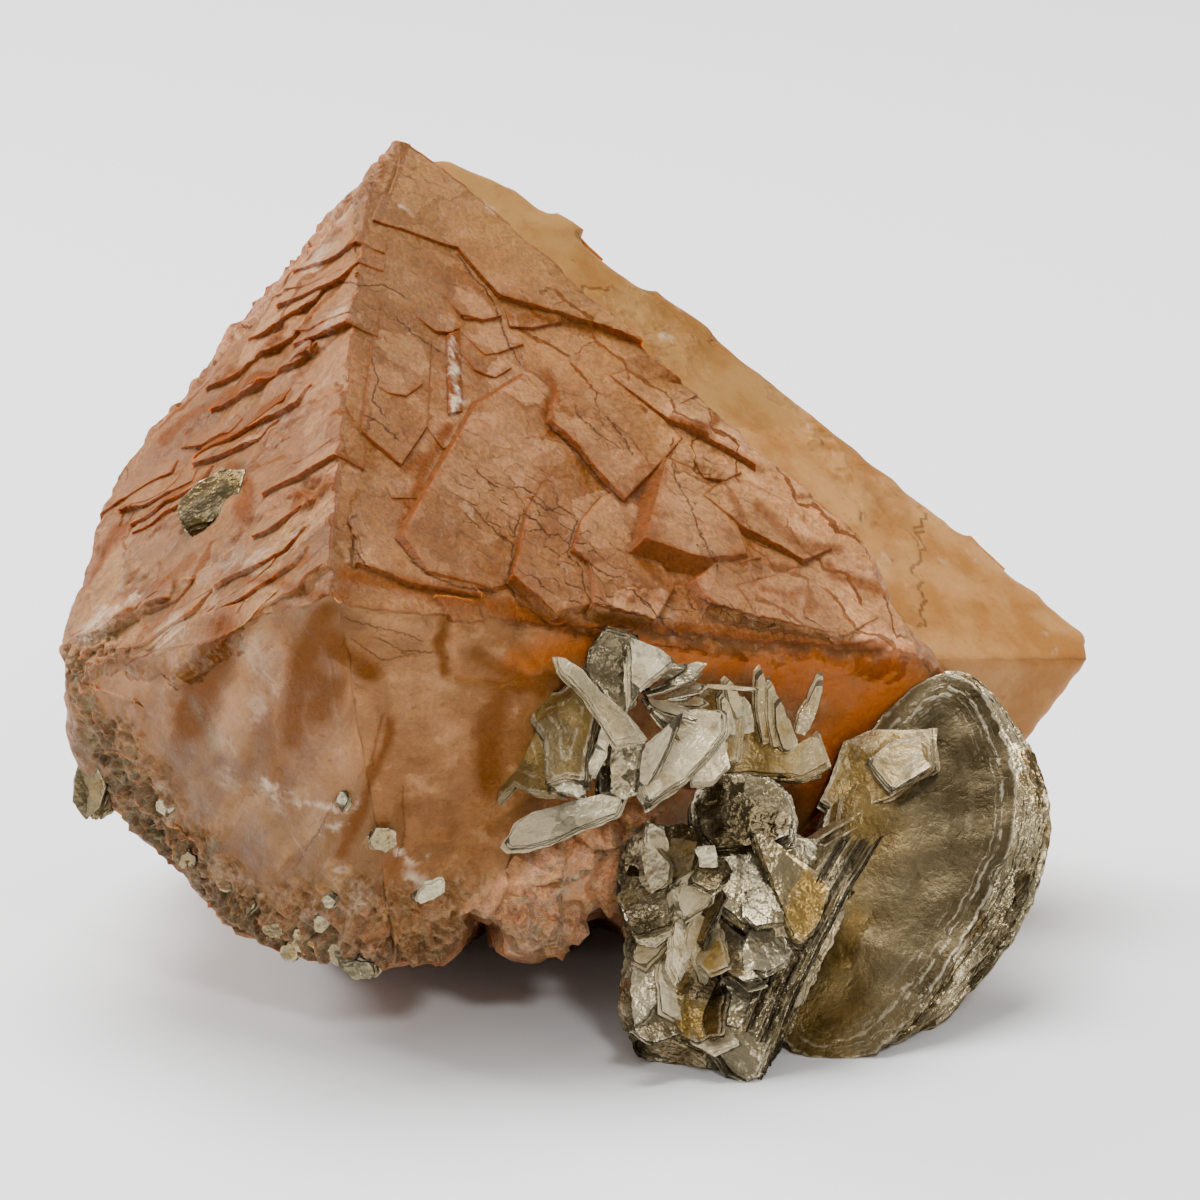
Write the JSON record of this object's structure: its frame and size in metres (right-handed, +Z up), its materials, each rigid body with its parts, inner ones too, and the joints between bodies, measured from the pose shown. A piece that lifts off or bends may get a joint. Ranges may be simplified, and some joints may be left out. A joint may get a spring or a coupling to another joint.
{
  "type": "mineral specimen",
  "caption": "Scheelite crystals in parallel growth, stepped growth plates on their faces, with muscovite rosettes and a fan-shaped book at the foot; a display piece.",
  "frame": {"origin": "bottom centre of the bounding box, on the plane the specimen rests on", "axes": "+Z up, +X to the right and -Y towards the viewer who faces the large stepped crystal face; the specimen is deepest along Y"},
  "size_m": [0.0768, 0.08, 0.0585],
  "materials": {
    "scheelite": "satin",
    "muscovite": "pearly"
  },
  "bodies": {
    "root": {"scheelite_crystal": "scheelite", "muscovite_upper_rosette": "muscovite", "muscovite_lower_rosette": "muscovite", "muscovite_fan_book": "muscovite", "muscovite_rear_rosette": "muscovite", "muscovite_left_flake": "muscovite", "muscovite_edge_flake": "muscovite"}
  },
  "joints": []
}
